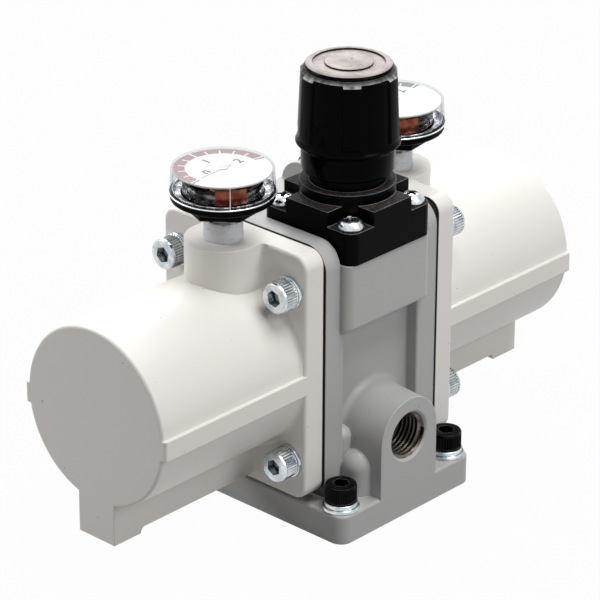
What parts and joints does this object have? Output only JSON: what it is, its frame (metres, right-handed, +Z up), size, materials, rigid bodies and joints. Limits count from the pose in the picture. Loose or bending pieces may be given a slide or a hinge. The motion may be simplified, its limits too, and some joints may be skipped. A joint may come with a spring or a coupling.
{
  "type": "air pressure booster",
  "caption": "Twin-cylinder air pressure booster with governor knob, dial gauges and a bolt-down base.",
  "frame": {"origin": "centre of the base plate's underside", "axes": "+X along the cylinders towards the right cover, -Y towards the exhaust port's face, +Z up"},
  "size_m": [0.16, 0.0722, 0.123],
  "materials": {
    "body_paint": "satin grey paint on cast aluminium",
    "cover_paint": "satin warm white paint on cast aluminium",
    "gasket": "matte",
    "zinc_steel": "bright zinc plated",
    "black_steel": "black oxide",
    "steel": "machined",
    "chrome_rod": "polished",
    "aluminium": "machined",
    "brass": "machined",
    "seal_rubber": "matte",
    "black_plastic": "black, moulded",
    "spring_steel": "drawn wire",
    "thread_tape": "white tape",
    "lens": "clear, polished",
    "dial": "white enamel",
    "pointer": "orange red",
    "copper_tube": "copper alloy"
  },
  "bodies": {
    "housing": {"centre_body": "body_paint", "left_cylinder_cover": "cover_paint", "right_cylinder_cover": "cover_paint", "left_gasket": "gasket", "right_gasket": "gasket", "cover_screws": "zinc_steel", "cover_spring_washers": "zinc_steel", "bonnet_screws": "zinc_steel", "base_screws": "black_steel", "base_spring_washers": "zinc_steel", "base_flat_washers": "zinc_steel", "rod_bush": "brass", "rod_seals": "seal_rubber", "seal_retainers": "spring_steel", "spool_sleeve": "aluminium", "push_rod_guides": "brass", "inlet_valve_retainers": "brass", "outlet_valve_seats": "brass", "bonnet": "black_plastic", "adjusting_spring": "spring_steel", "diaphragm": "seal_rubber", "valve_seat": "brass", "governor_valve_spring": "spring_steel", "left_gauge_stem": "brass", "left_thread_tape": "thread_tape", "left_gauge_case": "black_plastic", "left_gauge_ring": "chrome_rod", "left_gauge_lens": "lens", "left_gauge_dial": "dial", "left_bourdon_tube": "copper_tube", "left_gauge_movement": "steel", "right_gauge_stem": "brass", "right_thread_tape": "thread_tape", "right_gauge_case": "black_plastic", "right_gauge_ring": "chrome_rod", "right_gauge_lens": "lens", "right_gauge_dial": "dial", "right_bourdon_tube": "copper_tube", "right_gauge_movement": "steel"},
    "piston_assembly": {"piston_rod": "chrome_rod", "left_piston": "aluminium", "right_piston": "aluminium", "left_piston_seal": "seal_rubber", "right_piston_seal": "seal_rubber", "piston_nuts": "steel"},
    "left_push_rod": {"left_push_rod": "steel"},
    "right_push_rod": {"right_push_rod": "steel"},
    "changeover_spool": {"changeover_spool": "steel"},
    "adjusting_screw": {"adjusting_screw": "steel"},
    "knob": {"knob": "black_plastic"},
    "spring_seat": {"spring_seat": "steel"},
    "diaphragm_plate": {"diaphragm_plate": "aluminium"},
    "governor_valve": {"governor_valve": "brass"},
    "left_inlet_poppet": {"left_inlet_poppet": "seal_rubber"},
    "right_inlet_poppet": {"right_inlet_poppet": "seal_rubber"},
    "left_outlet_poppet": {"left_outlet_poppet": "seal_rubber"},
    "right_outlet_poppet": {"right_outlet_poppet": "seal_rubber"},
    "left_gauge_pointer": {"left_gauge_pointer": "pointer"},
    "right_gauge_pointer": {"right_gauge_pointer": "pointer"}
  },
  "joints": [
    {"name": "piston_travel", "type": "slide", "parent": "housing", "child": "piston_assembly", "axis": [1, 0, 0], "range_m": [-0.0208, 0.0208]},
    {"name": "left_push_rod_travel", "type": "slide", "parent": "housing", "child": "left_push_rod", "axis": [1, 0, 0], "range_m": [0, 0.002]},
    {"name": "right_push_rod_travel", "type": "slide", "parent": "housing", "child": "right_push_rod", "axis": [-1, 0, 0], "range_m": [0, 0.002]},
    {"name": "spool_shift", "type": "slide", "parent": "housing", "child": "changeover_spool", "axis": [1, 0, 0], "range_m": [-0.0025, 0.0025]},
    {"name": "pressure_set", "type": "hinge", "parent": "housing", "child": "adjusting_screw", "pos_m": [0, -0.0132, 0.1], "axis": [0, 0, -1], "range_deg": [0, 1440]},
    {"name": "knob_lock", "type": "slide", "parent": "adjusting_screw", "child": "knob", "axis": [0, 0, 1], "range_m": [0, 0.003]},
    {"name": "seat_feed", "type": "slide", "parent": "housing", "child": "spring_seat", "axis": [0, 0, -1], "range_m": [0, 0.0051], "deforming": ["adjusting_spring"]},
    {"name": "diaphragm_lift", "type": "slide", "parent": "housing", "child": "diaphragm_plate", "axis": [0, 0, -1], "range_m": [0, 0.0008], "stiffness_N_per_m": 500, "springref_m": -0.001, "deforming": ["diaphragm"]},
    {"name": "valve_lift", "type": "slide", "parent": "housing", "child": "governor_valve", "axis": [0, 0, -1], "range_m": [0, 0.0008], "stiffness_N_per_m": 300, "springref_m": -0.001, "deforming": ["governor_valve_spring"]},
    {"name": "left_inlet_lift", "type": "slide", "parent": "housing", "child": "left_inlet_poppet", "axis": [-1, 0, 0], "range_m": [0, 0.0015]},
    {"name": "right_inlet_lift", "type": "slide", "parent": "housing", "child": "right_inlet_poppet", "axis": [1, 0, 0], "range_m": [0, 0.0015]},
    {"name": "left_outlet_lift", "type": "slide", "parent": "housing", "child": "left_outlet_poppet", "axis": [1, 0, 0], "range_m": [0, 0.0015]},
    {"name": "right_outlet_lift", "type": "slide", "parent": "housing", "child": "right_outlet_poppet", "axis": [-1, 0, 0], "range_m": [0, 0.0015]},
    {"name": "left_pointer_turn", "type": "hinge", "parent": "housing", "child": "left_gauge_pointer", "pos_m": [-0.033, 0, 0.098], "axis": [0, 0, -1], "range_deg": [0, 195], "stiffness_Nm_per_rad": 0.0005},
    {"name": "right_pointer_turn", "type": "hinge", "parent": "housing", "child": "right_gauge_pointer", "pos_m": [0.033, 0, 0.098], "axis": [0, 0, -1], "range_deg": [0, 195], "stiffness_Nm_per_rad": 0.0005}
  ],
  "couplings": [
    {"joint": "seat_feed", "follows": "pressure_set", "m_per_rad": 0.00019894},
    {"joint": "valve_lift", "follows": "diaphragm_lift", "ratio": 1}
  ]
}
